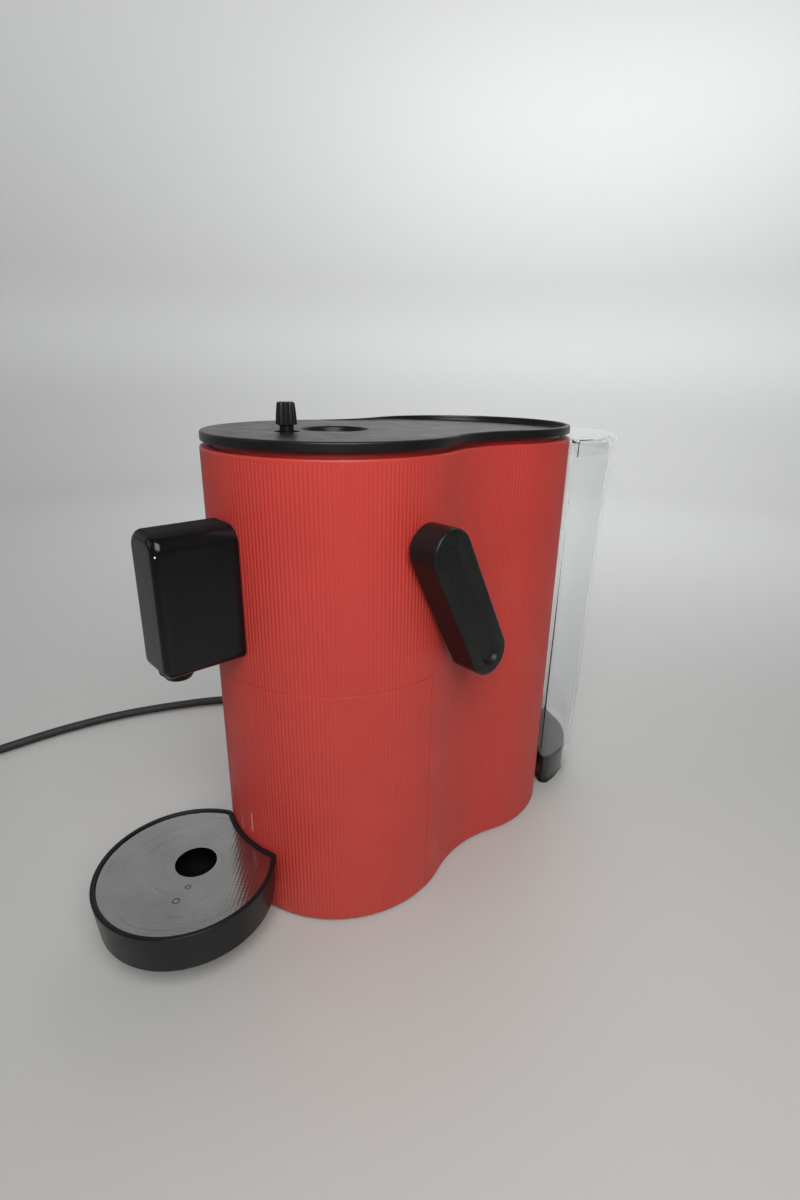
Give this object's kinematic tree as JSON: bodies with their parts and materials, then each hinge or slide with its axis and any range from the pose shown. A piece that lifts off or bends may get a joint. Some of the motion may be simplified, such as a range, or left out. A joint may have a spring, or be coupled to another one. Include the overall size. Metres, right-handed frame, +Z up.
{
  "type": "pod coffee machine",
  "caption": "Pod coffee machine: ribbed two-lobe body, side lever, spout head, sliding drip tray, used-pod drawer and lift-off water tank.",
  "frame": {"origin": "on the upright axis of the front lobe, at the counter, in the sole of the front foot pad", "axes": "+Z up; the spout and the drip tray face -Y, the water tank is at +Y, the lever is at +X"},
  "size_m": [0.3586, 0.4927, 0.2839],
  "materials": {
    "red_ribbed": "matt red with fine upright ribs",
    "red_smooth": "satin",
    "black_satin": "fine-grained satin",
    "black_gloss": "polished",
    "dark_plastic": "plain moulded",
    "clear_plastic": "clear, polished",
    "tray_steel": "brushed with a fine diamond texture",
    "plain_steel": "plain",
    "heater_aluminium": "cast",
    "pump_metal": "coated coil and frame",
    "brass": "machined",
    "black_rubber": "matt",
    "hose_silicone": "translucent",
    "circuit_board": "solder resist",
    "light_white": "light guide"
  },
  "bodies": {
    "body": {"front_foot_pad": "black_rubber", "rear_foot_pad": "black_rubber", "base_plate": "black_satin", "base_screw_1": "plain_steel", "base_screw_2": "plain_steel", "outer_shell": "red_ribbed", "neck_ring": "red_smooth", "top_lid": "black_satin", "mid_deck": "dark_plastic", "partition_wall": "dark_plastic", "brew_cup": "dark_plastic", "front_bracket": "dark_plastic", "rear_bracket": "dark_plastic", "guide_rod_left": "plain_steel", "guide_rod_right": "plain_steel", "pod_chute": "dark_plastic", "lever_bracket_inner": "dark_plastic", "lever_bracket_outer": "dark_plastic", "lever_bush": "black_satin", "thermoblock": "heater_aluminium", "pump": "pump_metal", "flow_meter": "dark_plastic", "inlet_hose": "hose_silicone", "pump_hose": "hose_silicone", "heater_hose": "hose_silicone", "power_board": "circuit_board", "control_board": "circuit_board", "spout_head": "black_gloss", "status_light": "light_white", "spout_nozzle": "black_satin", "outlet_pipe": "plain_steel", "tank_pedestal": "black_satin", "inlet_spigot": "dark_plastic", "inlet_seal": "black_rubber", "cord_gland": "black_rubber", "power_cord": "black_rubber", "cord_coil": "black_rubber", "plug_body": "black_rubber", "plug_pin_left": "brass", "plug_pin_right": "brass"},
    "lever": {"lever_handle": "black_satin", "lever_shaft": "plain_steel", "lever_pinion": "brass"},
    "carriage": {"carriage_frame": "dark_plastic", "brew_piston": "dark_plastic", "piston_seal": "black_rubber", "port_shutter": "black_satin"},
    "knob_stem": {"knob_stem": "plain_steel"},
    "knob": {"knob": "black_satin"},
    "drawer": {"container_front": "red_ribbed", "container_bin": "dark_plastic", "keeper_plate": "plain_steel"},
    "drip_tray": {"tray_bowl": "black_satin", "tray_magnet": "plain_steel"},
    "tray_plate": {"tray_plate": "tray_steel"},
    "tank": {"tank_body": "clear_plastic", "valve_guide": "dark_plastic"},
    "tank_valve": {"valve_plunger": "black_satin"},
    "tank_lid": {"tank_lid": "clear_plastic"}
  },
  "joints": [
    {"name": "lever_turn", "type": "hinge", "parent": "body", "child": "lever", "pos_m": [0.073, 0, 0.219], "axis": [1, 0, 0], "range_deg": [0, 110]},
    {"name": "carriage_slide", "type": "slide", "parent": "body", "child": "carriage", "axis": [0, 1, 0], "range_m": [0, 0.0346]},
    {"name": "knob_press", "type": "slide", "parent": "body", "child": "knob_stem", "axis": [0, 0, -1], "range_m": [0, 0.0012], "stiffness_N_per_m": 800},
    {"name": "knob_turn", "type": "hinge", "parent": "knob_stem", "child": "knob", "pos_m": [0, -0.03, 0.27], "axis": [0, 0, 1], "range_deg": [-135, 135]},
    {"name": "drawer_slide", "type": "slide", "parent": "body", "child": "drawer", "axis": [0, -1, 0], "range_m": [0, 0.16]},
    {"name": "tray_height", "type": "slide", "parent": "drawer", "child": "drip_tray", "axis": [0, 0, 1], "range_m": [-0.017, 0.055]},
    {"name": "tray_plate_lift", "type": "slide", "parent": "drip_tray", "child": "tray_plate", "axis": [0, 0, 1], "range_m": [0, 0.03]},
    {"name": "tank_lift", "type": "slide", "parent": "body", "child": "tank", "axis": [0, 0, 1], "range_m": [0, 0.12]},
    {"name": "tank_valve_lift", "type": "slide", "parent": "tank", "child": "tank_valve", "axis": [0, 0, 1], "range_m": [0, 0.0025], "stiffness_N_per_m": 120, "springref_m": -0.001},
    {"name": "tank_lid_lift", "type": "slide", "parent": "tank", "child": "tank_lid", "axis": [0, 0, 1], "range_m": [0, 0.04]}
  ],
  "couplings": [
    {"joint": "carriage_slide", "follows": "lever_turn", "m_per_rad": 0.018}
  ]
}
